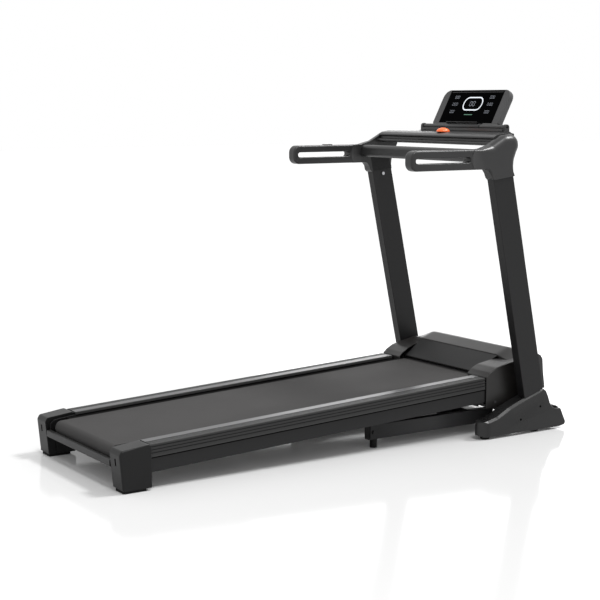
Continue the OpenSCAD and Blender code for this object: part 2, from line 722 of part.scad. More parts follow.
module display_glass() color([0.02, 0.02, 0.02]) shift() display_space()
    along_y(-2.7, -0.6) square_at([-157, 15.5], [157, 149.5]);

// Magnetic stop key; it lifts straight out of its seat in the console bar
module safety_key() color([0.9, 0.25, 0.08]) shift() translate([key_hole[0], key_hole[1], bar_top]) {
    translate([0, 0, 0.3]) rotate_extrude() polygon([[0, 0], [25, 0], [26, 3], [23, 8], [15, 12.5],
        [6, 15], [0, 15.5]]);
    translate([0, 0, -9]) cylinder(r = 8.7, h = 10);
}

deck_side(-1);  // deck_side_left
deck_side(1);  // deck_side_right
deck_crossmembers();
motor_plate();
running_board();
board_cushions();
side_rail(-1);  // side_rail_left
side_rail(1);  // side_rail_right
rear_cap(-1);  // rear_cap_left
rear_cap(1);  // rear_cap_right
rear_foot_pads();
rear_crossbar();
running_belt();
rear_roller();
rear_axle();
front_roller();
front_axle();
roller_adjusters();
motor();
motor_rotor();
drive_belt();
motor_controller();
motor_hood();
hood_panel();
belly_pan();
hood_screws();
power_inlet();
power_switch();
base_side(-1);  // base_side_left
base_side(1);  // base_side_right
base_cross_front();
base_cross_rear();
base_leg(-1);  // base_leg_left
base_leg(1);  // base_leg_right
fold_pins();
base_pads();
base_cover(-1);  // base_cover_left
base_cover(1);  // base_cover_right
cover_screws();
transport_wheel(-1);  // wheel_left
transport_wheel(1);  // wheel_right
wheel_axles();
strut_cylinder();
strut_rod();
upright(-1);  // upright_left
upright(1);  // upright_right
cable_cover();
arm(-1);  // arm_left
arm(1);  // arm_right
shoulder(-1);  // shoulder_left
shoulder(1);  // shoulder_right
shoulder_bolts();
cross_tube();
console_bar();
console_tray();
display_housing();
display_glass();
safety_key();
quick_key(key_y[0]);  // key_plus
quick_key(key_y[1]);  // key_minus
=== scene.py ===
"""Folding treadmill: detailed skins, materials, floor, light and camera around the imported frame."""
import json
import math

import bmesh
import bpy
from mathutils import Matrix, Vector

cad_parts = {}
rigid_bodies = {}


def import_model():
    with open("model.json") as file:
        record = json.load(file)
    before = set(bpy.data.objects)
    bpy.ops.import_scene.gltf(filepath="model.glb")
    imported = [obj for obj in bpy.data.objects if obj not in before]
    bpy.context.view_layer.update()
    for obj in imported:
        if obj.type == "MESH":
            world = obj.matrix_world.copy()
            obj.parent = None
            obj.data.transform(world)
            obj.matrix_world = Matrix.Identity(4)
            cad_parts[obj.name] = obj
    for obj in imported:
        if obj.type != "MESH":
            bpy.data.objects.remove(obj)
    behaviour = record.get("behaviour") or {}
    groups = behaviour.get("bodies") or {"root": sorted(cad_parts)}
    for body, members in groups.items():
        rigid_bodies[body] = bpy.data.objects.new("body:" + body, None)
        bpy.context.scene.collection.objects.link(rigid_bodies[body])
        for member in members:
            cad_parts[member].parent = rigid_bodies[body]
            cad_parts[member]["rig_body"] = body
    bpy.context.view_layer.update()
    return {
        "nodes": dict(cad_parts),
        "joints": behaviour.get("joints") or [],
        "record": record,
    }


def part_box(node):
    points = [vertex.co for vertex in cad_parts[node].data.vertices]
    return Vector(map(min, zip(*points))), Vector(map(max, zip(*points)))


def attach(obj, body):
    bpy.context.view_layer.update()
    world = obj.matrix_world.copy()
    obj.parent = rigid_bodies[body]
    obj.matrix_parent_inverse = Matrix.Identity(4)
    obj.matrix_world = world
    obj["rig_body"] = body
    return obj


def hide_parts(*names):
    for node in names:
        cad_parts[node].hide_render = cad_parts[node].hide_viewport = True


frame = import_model()

MM = 0.001
# Zero of the lengths along Y, as in the CAD source: 6 mm behind the pads of the rear feet
REAR_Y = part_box("rear_foot_pads")[0].y - 6 * MM
JOINTS = {joint["name"]: joint for joint in frame["joints"]}
BODY_OF = {node: obj["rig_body"] for node, obj in frame["nodes"].items()}

# Space of the inclined deck: Y along the belt from the rear axle, Z up from the axles' line
rear_axle = Vector(JOINTS["rear_roller_turn"]["pos_m"])
front_axle = Vector(JOINTS["front_roller_turn"]["pos_m"])
belt_run = (front_axle - rear_axle).length
deck_slope = math.atan2(front_axle.z - rear_axle.z, front_axle.y - rear_axle.y)
DECK = Matrix.Translation(rear_axle) @ Matrix.Rotation(deck_slope, 4, "X")
# Space of the display: Y towards its back, Z up along its face, origin on its hinge
DISPLAY_TILT = math.radians(28)
hinge = Vector(JOINTS["display_tilt"]["pos_m"])
DISPLAY = Matrix.Translation(hinge) @ Matrix.Rotation(-DISPLAY_TILT, 4, "X")
FLOOR_PLAN = Matrix.Translation((0, REAR_Y, 0))


# ---- Materials ----

def principled(name, color, rough, metal=0.0, specular=0.5):
    """Material whose uniform numbers sit on the shader's own sockets."""
    material = bpy.data.materials.new(name)
    material.use_nodes = True
    shader = material.node_tree.nodes["Principled BSDF"]
    shader.inputs["Base Color"].default_value = (*color, 1)
    shader.inputs["Roughness"].default_value = rough
    shader.inputs["Metallic"].default_value = metal
    shader.inputs["Specular IOR Level"].default_value = specular
    return material, shader


def finish(name, color, rough, metal=0.0, specular=0.5, grain=900.0, bump=0.04, vary=0.12,
           stretch=(1, 1, 1), wear=None):
    """Surface with a fine grain, slow colour and gloss variation and, with wear, paler worn edges."""
    material, shader = principled(name, color, rough, metal, specular)
    tree = material.node_tree
    nodes, links = tree.nodes, tree.links
    coords = nodes.new("ShaderNodeTexCoord")
    mapping = nodes.new("ShaderNodeMapping")
    mapping.inputs["Scale"].default_value = stretch
    links.new(coords.outputs["Object"], mapping.inputs["Vector"])
    fine = nodes.new("ShaderNodeTexNoise")
    fine.inputs["Scale"].default_value = grain
    fine.inputs["Detail"].default_value = 3
    links.new(mapping.outputs["Vector"], fine.inputs["Vector"])
    slow = nodes.new("ShaderNodeTexNoise")
    slow.inputs["Scale"].default_value = 9
    slow.inputs["Detail"].default_value = 4
    links.new(coords.outputs["Object"], slow.inputs["Vector"])
    tint = nodes.new("ShaderNodeValToRGB")
    tint.color_ramp.elements[0].position = 0.3
    tint.color_ramp.elements[1].position = 0.7
    tint.color_ramp.elements[0].color = (*[c * (1 - vary) for c in color], 1)
    tint.color_ramp.elements[1].color = (*[c * (1 + vary) for c in color], 1)
    links.new(slow.outputs["Fac"], tint.inputs["Fac"])
    color_out = tint.outputs["Color"]
    if wear is not None:
        geometry = nodes.new("ShaderNodeNewGeometry")
        edge = nodes.new("ShaderNodeMapRange")
        edge.inputs["From Min"].default_value = 0.53
        edge.inputs["From Max"].default_value = 0.62
        links.new(geometry.outputs["Pointiness"], edge.inputs["Value"])
        mix = nodes.new("ShaderNodeMix")
        mix.data_type = "RGBA"
        mix.inputs["B"].default_value = (*wear, 1)
        links.new(edge.outputs["Result"], mix.inputs["Factor"])
        links.new(color_out, mix.inputs["A"])
        color_out = mix.outputs["Result"]
    links.new(color_out, shader.inputs["Base Color"])
    gloss = nodes.new("ShaderNodeMapRange")
    gloss.inputs["To Min"].default_value = max(rough - 0.05, 0.02)
    gloss.inputs["To Max"].default_value = min(rough + 0.07, 1)
    links.new(slow.outputs["Fac"], gloss.inputs["Value"])
    links.new(gloss.outputs["Result"], shader.inputs["Roughness"])
    relief = nodes.new("ShaderNodeBump")
    relief.inputs["Strength"].default_value = bump
    relief.inputs["Distance"].default_value = 0.0006
    links.new(fine.outputs["Fac"], relief.inputs["Height"])
    links.new(relief.outputs["Normal"], shader.inputs["Normal"])
    return material


def woven_belt(name, color, rough, pitch):
    """Belt surface: fine diagonal lozenges pressed into the rubber, slightly uneven in tone."""
    material, shader = principled(name, color, rough, specular=0.15)
    tree = material.node_tree
    nodes, links = tree.nodes, tree.links
    coords = nodes.new("ShaderNodeTexCoord")
    heights = []
    for sign in (1, -1):
        turned = nodes.new("ShaderNodeMapping")
        turned.inputs["Rotation"].default_value = (0, 0, math.radians(45 * sign))
        links.new(coords.outputs["Object"], turned.inputs["Vector"])
        wave = nodes.new("ShaderNodeTexWave")
        wave.inputs["Scale"].default_value = 0.5 / pitch
        wave.inputs["Distortion"].default_value = 0.4
        links.new(turned.outputs["Vector"], wave.inputs["Vector"])
        heights.append(wave.outputs["Fac"])
    both = nodes.new("ShaderNodeMath")
    both.operation = "MULTIPLY"
    for i, height in enumerate(heights):
        links.new(height, both.inputs[i])
    noise = nodes.new("ShaderNodeTexNoise")
    noise.inputs["Scale"].default_value = 6
    noise.inputs["Detail"].default_value = 6
    links.new(coords.outputs["Object"], noise.inputs["Vector"])
    tint = nodes.new("ShaderNodeValToRGB")
    tint.color_ramp.elements[0].color = (*[c * 0.86 for c in color], 1)
    tint.color_ramp.elements[1].color = (*[c * 1.14 for c in color], 1)
    links.new(noise.outputs["Fac"], tint.inputs["Fac"])
    links.new(tint.outputs["Color"], shader.inputs["Base Color"])
    relief = nodes.new("ShaderNodeBump")
    relief.inputs["Strength"].default_value = 0.25
    relief.inputs["Distance"].default_value = 0.0004
    links.new(both.outputs["Value"], relief.inputs["Height"])
    links.new(relief.outputs["Normal"], shader.inputs["Normal"])
    return material


def lit(name, color, strength):
    """Glowing readout: even glow on a dark surface of slightly uneven gloss."""
    material, shader = principled(name, (0.01, 0.01, 0.01), 0.4)
    shader.inputs["Emission Color"].default_value = (*color, 1)
    shader.inputs["Emission Strength"].default_value = strength
    tree = material.node_tree
    noise = tree.nodes.new("ShaderNodeTexNoise")
    noise.inputs["Scale"].default_value = 400
    ramp = tree.nodes.new("ShaderNodeMapRange")
    ramp.inputs["To Min"].default_value = 0.3
    ramp.inputs["To Max"].default_value = 0.5
    tree.links.new(noise.outputs["Fac"], ramp.inputs["Value"])
    tree.links.new(ramp.outputs["Result"], shader.inputs["Roughness"])
    return material


NEAR_BLACK = (0.0018, 0.0018, 0.0020)
# Finish of every slot in the frame's record
MATERIALS = {
    "frame_steel": finish("powder_coat", NEAR_BLACK, 0.38, specular=0.26, grain=1500,
                          bump=0.06, wear=(0.03, 0.03, 0.031)),
    "board": finish("phenolic_board", (0.0025, 0.0024, 0.0023), 0.6, specular=0.06, grain=300, bump=0.1,
                    stretch=(1, 0.1, 1)),
    "rubber": finish("black_rubber", (0.007, 0.007, 0.007), 0.75, specular=0.15, grain=700, bump=0.15),
    "rail_aluminium": finish("anodised_rail", (0.0015, 0.0015, 0.0017), 0.46, specular=0.18, grain=500,
                             bump=0.03, stretch=(6, 0.05, 6), wear=(0.03, 0.03, 0.03)),
    "plastic_black": finish("moulded_black", NEAR_BLACK, 0.4, specular=0.27, grain=1100,
                            bump=0.08, wear=(0.025, 0.025, 0.025)),
    "grip_plastic": finish("satin_grip", (0.0130, 0.0130, 0.0133), 0.34, specular=0.42, grain=1300,
                           bump=0.05, wear=(0.05, 0.05, 0.05)),
    "hood_panel_satin": finish("satin_panel", (0.017, 0.017, 0.0172), 0.5, specular=0.2, grain=1300,
                               bump=0.05),
    "running_belt_fabric": woven_belt("woven_belt", (0.0345, 0.0335, 0.0332), 0.8, 0.0022),
    "bright_steel": finish("zinc_steel", (0.45, 0.45, 0.47), 0.3, metal=1.0, grain=800, bump=0.03,
                           stretch=(0.1, 5, 5)),
    "motor_paint": finish("motor_paint", (0.02, 0.02, 0.022), 0.4, grain=900, bump=0.05),
    "circuit": finish("solder_mask", (0.02, 0.13, 0.05), 0.35, grain=900, bump=0.05),
    "switch_red": finish("switch_red", (0.4, 0.02, 0.02), 0.25, grain=900, bump=0.02),
    "display_gloss": finish("black_lens", (0.0004, 0.0004, 0.0005), 0.12, specular=0.005, grain=40,
                            bump=0.0, vary=0.3),
    "key_orange": finish("orange_key", (0.85, 0.13, 0.02), 0.3, grain=900, bump=0.03),
    "key_grey": finish("grey_key", (0.03, 0.03, 0.03), 0.45, specular=0.3, grain=1200, bump=0.05,
                       wear=(0.10, 0.10, 0.10)),
}
# Finishes of pieces and nodes that look different from the rest of their slot
RAIL_STRIP = finish("brushed_strip", (0.11, 0.11, 0.113), 0.36, metal=1.0, grain=400, bump=0.05,
                    stretch=(8, 0.04, 8))
SIDE_BEZEL = finish("grey_bezel", (0.055, 0.055, 0.056), 0.5, specular=0.25, grain=1200, bump=0.06)
COVER_SATIN = finish("cover_satin", NEAR_BLACK, 0.27, specular=0.38, grain=1200,
                     bump=0.04, wear=(0.02, 0.02, 0.02))
# Near-black painted shade: on the cover's screw heads it stands for the shaded holes round them, below the
# rail skirts for the shaded gap to the frame
PAINTED_SHADE_BLACK = finish("painted_shade_black", (0.0006, 0.0006, 0.0006), 0.7, specular=0.03, grain=600, bump=0.02)
DARK_STEEL = finish("blackened_pin", (0.02, 0.02, 0.02), 0.4, specular=0.3, grain=800, bump=0.03)
HOOD_SHELL = finish("hood_shell", (0.0056, 0.0048, 0.0044), 0.34, specular=0.42, grain=1200, bump=0.06,
                    wear=(0.05, 0.05, 0.05))
SLOT_OF = {part["node"]: part["material_slot"] for part in frame["record"]["subparts"]}


# ---- Mesh tools ----

def smooth(obj, angle=32.0):
    """Shades a piece smooth, with sharp edges where its faces meet at more than an angle."""
    obj.data.shade_smooth()
    obj.data.set_sharp_from_angle(angle=math.radians(angle))


def piece(name, bm, body, slot, replaces=(), space=None, angle=32.0, material=None):
    """Turns a bmesh into a piece that rides on a body, in its slot's finish or one of its own."""
    bmesh.ops.remove_doubles(bm, verts=bm.verts, dist=1e-6)
    bmesh.ops.recalc_face_normals(bm, faces=bm.faces)
    mesh = bpy.data.meshes.new(name)
    bm.to_mesh(mesh)
    bm.free()
    if space is not None:
        mesh.transform(space)
    mesh.materials.append(material or MATERIALS[slot])
    obj = bpy.data.objects.new(name, mesh)
    bpy.context.scene.collection.objects.link(obj)
    smooth(obj, angle)
    flat = obj.modifiers.new("flat_faces", "WEIGHTED_NORMAL")
    flat.keep_sharp = True
    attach(obj, body)
    if replaces:
        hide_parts(*replaces)
    return obj


def add_bevel(obj, width):
    """Rounds the edges of a CAD node, by a width in metres."""
    bevel = obj.modifiers.new("edges", "BEVEL")
    bevel.width = width
    bevel.segments = 3
    bevel.limit_method = "ANGLE"
    bevel.angle_limit = math.radians(35)
    bevel.harden_normals = True


def carve(obj, bm, name, space=FLOOR_PLAN):
    """Cuts a bmesh out of a piece and leaves plain mesh data behind."""
    mesh = bpy.data.meshes.new(name)
    bmesh.ops.recalc_face_normals(bm, faces=bm.faces)
    bm.to_mesh(mesh)
    bm.free()
    mesh.transform(space)
    cutter = bpy.data.objects.new(name, mesh)
    bpy.context.scene.collection.objects.link(cutter)
    obj.modifiers["flat_faces"].show_viewport = False
    cut = obj.modifiers.new("cut", "BOOLEAN")
    cut.object = cutter
    cut.solver = "EXACT"
    bpy.context.view_layer.update()
    evaluated = obj.evaluated_get(bpy.context.evaluated_depsgraph_get())
    result = bpy.data.meshes.new_from_object(evaluated)
    obj.modifiers.remove(cut)
    old = obj.data
    obj.data = result
    bpy.data.meshes.remove(old)
    bpy.data.objects.remove(cutter)
    bpy.data.meshes.remove(mesh)
    obj.modifiers["flat_faces"].show_viewport = True
    smooth(obj)


def fillet(corners, steps=6):
    """Closed outline from corners (a, b, radius), each rounded by its own arc."""
    points = []
    count = len(corners)
    for i, (a, b, radius) in enumerate(corners):
        here = Vector((a, b))
        back = (Vector(corners[i - 1][:2]) - here).normalized()
        ahead = (Vector(corners[(i + 1) % count][:2]) - here).normalized()
        half = back.angle(ahead) / 2
        if radius < 0.01 or half > math.radians(88):
            points.append(here)
            continue
        reach = radius / math.tan(half)
        centre = here + (back + ahead).normalized() * (radius / math.sin(half))
        start = here + back * reach - centre
        turn = start.angle_signed(here + ahead * reach - centre)
        for k in range(steps + 1):
            angle = -turn * k / steps
            c, s = math.cos(angle), math.sin(angle)
            points.append(centre + Vector((start.x * c - start.y * s, start.x * s + start.y * c)))
    return points


def rounded_box(low, high, radii, steps=6):
    """Rectangle between two corners; radii go from the low corner up, across and back down."""
    corners = (low, (low[0], high[1]), high, (high[0], low[1]))
    return fillet([(*corner, radius) for corner, radius in zip(corners, radii)], steps)


def inset(points, widths, flush=None):
    """Outline moved inwards along its vertex normals; widths is one number per point.

    Points within a millimetre of flush, a value of the first coordinate, keep that coordinate.
    """
    count = len(points)
    area = sum(points[i - 1].x * points[i].y - points[i].x * points[i - 1].y for i in range(count))
    sign = 1 if area > 0 else -1
    moved = []
    for i, point in enumerate(points):
        before = (point - points[i - 1]).normalized()
        after = (points[(i + 1) % count] - point).normalized()
        normal = Vector((-(before.y + after.y), before.x + after.x)).normalized() * sign
        stretch = max(normal.dot(Vector((-after.y, after.x)) * sign), 0.5)
        target = point + normal * widths[i] / stretch
        if flush is not None and abs(point.x - flush) < 1:
            target.x = point.x
        moved.append(target)
    return moved


def loft(rings, closed_ends=True):
    """Skin over rings of equally many points; the first and last ring are filled."""
    bm = bmesh.new()
    rows = [[bm.verts.new(p) for p in ring] for ring in rings]
    count = len(rows[0])
    for low, high in zip(rows, rows[1:]):
        for i in range(count):
            bm.faces.new((low[i - 1], low[i], high[i], high[i - 1]))
    if closed_ends:
        bm.faces.new(rows[0])
        bm.faces.new(reversed(rows[-1]))
    return bm


def join(bm, other):
    """Moves a second bmesh into the first."""
    mesh = bpy.data.meshes.new("joined")
    other.to_mesh(mesh)
    other.free()
    bm.from_mesh(mesh)
    bpy.data.meshes.remove(mesh)


def place(points, along, axis):
    """2D outline in millimetres to 3D metres; along is one number or one per point."""
    values = along if isinstance(along, (list, tuple)) else [along] * len(points)
    if axis == "X":
        return [Vector((v, p.x, p.y)) * MM for p, v in zip(points, values)]
    if axis == "Y":
        return [Vector((p.x, v, p.y)) * MM for p, v in zip(points, values)]
    return [Vector((p.x, p.y, v)) * MM for p, v in zip(points, values)]


def slab(points, lo, hi, axis, round_lo=1.0, round_hi=1.0, steps=4, flush=None):
    """Outline extruded from lo to hi, with both rims rounded; radii may differ point by point."""
    radii = [[r] * len(points) if isinstance(r, (int, float)) else r for r in (round_lo, round_hi)]
    rings = []
    for end, sign, radius in ((lo, 1, radii[0]), (hi, -1, radii[1])):
        stack = []
        for k in range(steps + 1):
            angle = math.pi / 2 * k / steps
            ring = inset(points, [r * (1 - math.sin(angle)) for r in radius], flush)
            stack.append(place(ring, [end + sign * r * (1 - math.cos(angle)) for r in radius], axis))
        rings += stack if sign > 0 else stack[::-1]
    return loft(rings)


def framed_slab(outer, hole, lo, hi, axis, radius, hole_radius, steps=4, flush=None):
    """Extruded outline with one hole of as many points, all rims rounded."""
    count = len(outer)
    outer_rows, hole_rows = [], []
    for end, sign in ((lo, 1), (hi, -1)):
        walls, bores = [], []
        for k in range(steps + 1):
            angle = math.pi / 2 * k / steps
            away, deep = 1 - math.sin(angle), 1 - math.cos(angle)
            wall = inset(outer, [radius * away] * count, flush)
            walls.append(place(wall, end + sign * radius * deep, axis))
            bore = inset(hole, [-hole_radius * away] * count)
            bores.append(place(bore, end + sign * hole_radius * deep, axis))
        outer_rows += walls if sign > 0 else walls[::-1]
        hole_rows += bores if sign > 0 else bores[::-1]
    bm = loft(outer_rows, closed_ends=False)
    join(bm, loft(hole_rows, closed_ends=False))
    for wall, bore in ((outer_rows[0], hole_rows[0]), (outer_rows[-1], hole_rows[-1])):
        near = [bm.verts.new(p) for p in wall]
        far = [bm.verts.new(p) for p in bore]
        for i in range(count):
            bm.faces.new((near[i - 1], near[i], far[i], far[i - 1]))
    return bm


def lathe(profile, axis, segments):
    """Rings of a profile of (radius, distance) in millimetres, turned about an axis."""
    rings = []
    for radius, distance in profile:
        ring = []
        for k in range(segments):
            angle = 2 * math.pi * k / segments
            a, b = radius * math.cos(angle), radius * math.sin(angle)
            spot = {"X": (distance, a, b), "Y": (a, distance, b), "Z": (a, b, distance)}[axis]
            ring.append(Vector(spot) * MM)
        rings.append(ring)
    return rings


def add_block(bm, lo, hi):
    """Adds a box between two corners, in millimetres."""
    corners = [[(x, y, z) for x in (lo[0], hi[0])] for y in (lo[1], hi[1]) for z in (lo[2], hi[2])]
    v = [bm.verts.new(Vector(p) * MM) for pair in corners for p in pair]
    for quad in ((0, 1, 3, 2), (4, 6, 7, 5), (0, 4, 5, 1), (2, 3, 7, 6), (0, 2, 6, 4), (1, 5, 7, 3)):
        bm.faces.new([v[i] for i in quad])


def mirrored(bm, side):
    """Turns the right-hand shape into the left-hand one where side is negative."""
    if side < 0:
        bmesh.ops.scale(bm, vec=(-1, 1, 1), verts=bm.verts)
        bmesh.ops.reverse_faces(bm, faces=bm.faces)
    return bm


def ramp(value, start, length):
    """Share of the way from start to a length beyond it, held between 0 and 1."""
    return min(max((value - start) / length, 0), 1)


def bore(radius, lo_x, hi_x, y, z, segments):
    """Round cutter along X; y and z are a place in the frame, in metres."""
    bm = loft(lathe([(radius, lo_x), (radius, hi_x)], "X", segments))
    bmesh.ops.translate(bm, vec=(0, y - REAR_Y, z), verts=bm.verts)
    return bm


SIDES = ((-1, "left"), (1, "right"))


# ---- Carried-over CAD nodes ----

# Edge rounding of CAD nodes that stay visible, in millimetres
CAD_EDGES = {
    "deck_side_left": 2.5, "deck_side_right": 2.5, "deck_crossmembers": 1.5, "board_cushions": 0.8,
    "motor": 1.5, "motor_plate": 0.8, "motor_controller": 0.4, "hood_panel": 0.8, "belly_pan": 0.8,
    "power_inlet": 0.6, "power_switch": 0.5, "rear_foot_pads": 1.5, "base_pads": 1.5,
    "base_side_left": 2, "base_side_right": 2, "base_cross_front": 2, "base_cross_rear": 1.2,
    "base_leg_left": 2, "base_leg_right": 2, "upright_left": 4.5, "upright_right": 4.5,
    "console_tray": 1.0, "strut_cylinder": 0.8,
}
# CAD nodes that look different from the rest of their slot
CAD_FINISHES = {
    "fold_pins": DARK_STEEL, "rear_roller": DARK_STEEL, "front_roller": DARK_STEEL,
    # The cover's screw heads carry painted shade, near-black for the shaded holes they sit in
    "cover_screws": PAINTED_SHADE_BLACK, "console_tray": MATERIALS["grip_plastic"],
}


def dress_cad_nodes():
    """Gives every CAD node its finish and, where it stays in sight, rounded edges."""
    for node, obj in frame["nodes"].items():
        obj.data.materials.clear()
        obj.data.materials.append(CAD_FINISHES.get(node, MATERIALS[SLOT_OF[node]]))
        weld = obj.modifiers.new("weld", "WELD")
        weld.merge_threshold = 1e-6
        if node in CAD_EDGES:
            add_bevel(obj, CAD_EDGES[node] * MM)


# ---- Deck ----

def rear_cap(side, name):
    """Moulded end cap: crowned block with a slot for the tension bolt and a rimmed inner flange."""
    lo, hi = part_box("rear_cap_right")
    inner, outer = lo.x / MM, hi.x / MM
    flange, edge, crown = 6, 1.8, 7
    outline = fillet([(2, 9, 6), (-8.5, 127, 11), (0, 141, 10), (94, 151.5, 14), (104, 147, 3),
                      (104, 9, 3)])
    # The crown leaves out the foot and the upright front edge
    rims = [crown if p.x < 88 and p.y > 12 else edge for p in outline]
    body = mirrored(slab(outline, inner + flange, outer, "X", edge, rims, 5), side)
    cap = piece(f"rear_cap_{name}_skin", body, "deck", "plastic_black", (f"rear_cap_{name}",), FLOOR_PLAN)
    rim = fillet([(8, 80, 3), (8, 119, 6), (22, 131, 6), (36, 134, 5), (103, 141, 3), (103, 38, 3),
                  (72, 35, 3), (70, 14, 3), (30, 14, 3), (30, 72, 3)])
    plate = mirrored(slab(rim, inner, inner + flange + 1, "X", 1.2, 0.5), side)
    piece(f"rear_cap_{name}_flange", plate, "deck", "plastic_black", (), FLOOR_PLAN)
    slot = bmesh.new()
    add_block(slot, (-4.6, -14, 87), (4.6, 18, 111))
    slot_x = side * (inner + flange + outer) / 2
    bmesh.ops.translate(slot, vec=(slot_x * MM, 0, 0), verts=slot.verts)
    carve(cap, slot, f"rear_cap_{name}_slot")


def rail_profile(inner, outer):
    """Section of the walking rail: bed of the strip, grooved tread, rounded edge, ribbed skirt."""
    top, foot, rounding = 38.4, -6.6, 4
    face, groove_pitch, corner_steps = top - 0.9, 8, 5
    tread = inner + 36
    points = [(inner, top - 10), (inner, top - 2), (inner + 0.8, face), (tread, face),
              (tread + 0.5, top - 2.2), (tread + 2.5, top - 2.2), (tread + 3, face)]
    x = tread + groove_pitch
    while x < outer - 7:
        points += [(x, face), (x + 0.5, top - 2), (x + 2, top - 2), (x + 2.5, face)]
        x += groove_pitch
    for k in range(corner_steps + 1):
        angle = math.pi / 2 * (1 - k / corner_steps)
        points.append((outer - rounding + rounding * math.cos(angle),
                       face - rounding + rounding * math.sin(angle)))
    for z in (top - 9, top - 19, top - 29):
        points += [(outer, z), (outer - 1.6, z - 0.8), (outer - 1.6, z - 2.4), (outer, z - 3.2)]
    points += [(outer, foot + 1.2), (outer - 0.8, foot), (outer - 3, foot), (outer - 3, top - 6.8),
               (inner + 3, top - 3.2), (inner + 3, top - 10)]
    return [Vector(p) for p in points]


def side_rail(side, name):
    """Black rail with a brushed strip let into its inner half and a strip of painted shade below its
    skirt.
    """
    lo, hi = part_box("side_rail_right")
    inner, outer = lo.x / MM, hi.x / MM
    # From just ahead of the rear cap to just short of the hood; the rear axle is 39 mm from the zero
    start, end = (lo.y - REAR_Y) / MM - 39, 1455
    bm = mirrored(loft([place(rail_profile(inner, outer), y, "Y") for y in (start, end)]), side)
    piece(f"side_rail_{name}_skin", bm, "deck", "rail_aluminium", (f"side_rail_{name}",), DECK, 22)
    strip = rounded_box((inner + 1.2, 37), (inner + 34.5, 38.4), (0.2, 0.5, 0.5, 0.2), 3)
    bm = mirrored(slab(strip, start + 0.5, end - 0.5, "Y", 0.2, 0.2, 1), side)
    piece(f"rail_strip_{name}", bm, "deck", "rail_aluminium", (), DECK, 30, RAIL_STRIP)
    # Near-black strip of painted shade, standing for the shaded gap between the skirt and the frame
    gap_shade = rounded_box((outer - 4, -10.2), (outer - 0.7, -6.7), [0.5] * 4, 3)
    bm = mirrored(slab(gap_shade, start + 0.5, end - 0.5, "Y", 0.3, 0.3, 1), side)
    piece(f"rail_gap_shade_{name}", bm, "deck", "rubber", (), DECK, 30, PAINTED_SHADE_BLACK)


def running_belt():
    """Endless band round both rollers, with chamfered outer edges."""
    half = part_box("running_belt")[1].x / MM
    run, inner, thick, edge = belt_run / MM, 24.3, 2.2, 0.7
    turns = 28

    def loop(radius):
        path = []
        for centre, start in ((0, 90), (run, -90)):
            for k in range(turns + 1):
                angle = math.radians(start + 180 * k / turns)
                path.append(Vector((centre + radius * math.cos(angle), radius * math.sin(angle))))
        return path

    rings = [(half, inner), (half, inner + thick - edge), (half - edge, inner + thick),
             (-half + edge, inner + thick), (-half, inner + thick - edge), (-half, inner), (half, inner)]
    bm = loft([place(loop(radius), x, "X") for x, radius in rings], closed_ends=False)
    piece("running_belt_skin", bm, "deck", "running_belt_fabric", ("running_belt",), DECK, 50)


def rear_crossbar():
    """Bar between the end caps, held below the belt's rear roll."""
    lo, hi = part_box("rear_crossbar")
    bm = slab(rounded_box((-6, 76), (10, 98.5), (3, 3, 1, 1), 5), lo.x / MM, hi.x / MM, "X", 0.3, 0.3, 1)
    piece("rear_crossbar_skin", bm, "deck", "plastic_black", ("rear_crossbar",), FLOOR_PLAN, 35)


def tension_screws():
    """Socket heads behind the slots of the end caps."""
    lo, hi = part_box("roller_adjusters")
    head = [(0, 4), (2.6, 4), (2.8, 0), (5.4, 0), (6.2, 0.8), (6.2, 6), (0, 6)]
    reach = 6.5 * MM
    for side, name in SIDES:
        bm = loft(lathe(head, "Y", 24), closed_ends=False)
        centre = (side * (hi.x - reach), lo.y, (lo.z + hi.z) / 2)
        bmesh.ops.translate(bm, vec=centre, verts=bm.verts)
        piece(f"tension_screw_{name}", bm, "deck", "bright_steel")


# ---- Motor hood ----

def hood_side(shrink, foot):
    """Side outline of the wings, softened where the slopes meet and drawn in by shrink."""
    back, front = 1498 + shrink, 1740 - shrink
    return fillet([(back, foot, 0.5), (back, 219 - shrink, 5), (1514, 234 - shrink, 30),
                   (1545, 250 - shrink, 60), (1590, 261 - shrink, 90), (1650, 272 - shrink, 90),
                   (1720, 272 - shrink, 14), (front, 250 - shrink, 12), (front, foot, 0.5)], 6)


def motor_hood():
    """Thin shell of both wings, open below, with a bay for the sloping panel."""
    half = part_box("motor_hood")[1].x / MM
    wall, foot, below = 3, 100, 60
    outline = hood_side(0, foot)
    rims = [0.3 if p.y < foot + 10 else 4.8 for p in outline]
    bm = slab(outline, -half, half, "X", rims, rims, 4)
    shell = piece("motor_hood_skin", bm, "deck", "plastic_black", ("motor_hood",), FLOOR_PLAN, 30,
                  HOOD_SHELL)
    hollow = slab(hood_side(wall, below), wall - half, half - wall, "X", 0.3, 0.3, 1)
    carve(shell, hollow, "hood_inside")
    # Half widths of the bay at the foot and at the head of the panel
    low_x, high_x = 212, 235
    bay = [(-low_x, 1400), (-low_x, 1531), (-high_x, 1624), (high_x, 1624), (low_x, 1531), (low_x, 1400)]
    carve(shell, loft([place([Vector(p) for p in bay], z, "Z") for z in (0, 400)]), "hood_bay")
    openings = bmesh.new()
    rail_x, rail_half = 298, 22
    for side in (-1, 1):
        add_block(openings, (side * rail_x - rail_half, 1490, 20), (side * rail_x + rail_half, 1503, 207))
    inlet, switch = ((158, 140), (206, 168)), ((215.5, 141), (236.5, 167))
    for low, high in (inlet, switch):
        add_block(openings, (low[0], 1725, low[1]), (high[0], 1750, high[1]))
    carve(shell, openings, "hood_openings")


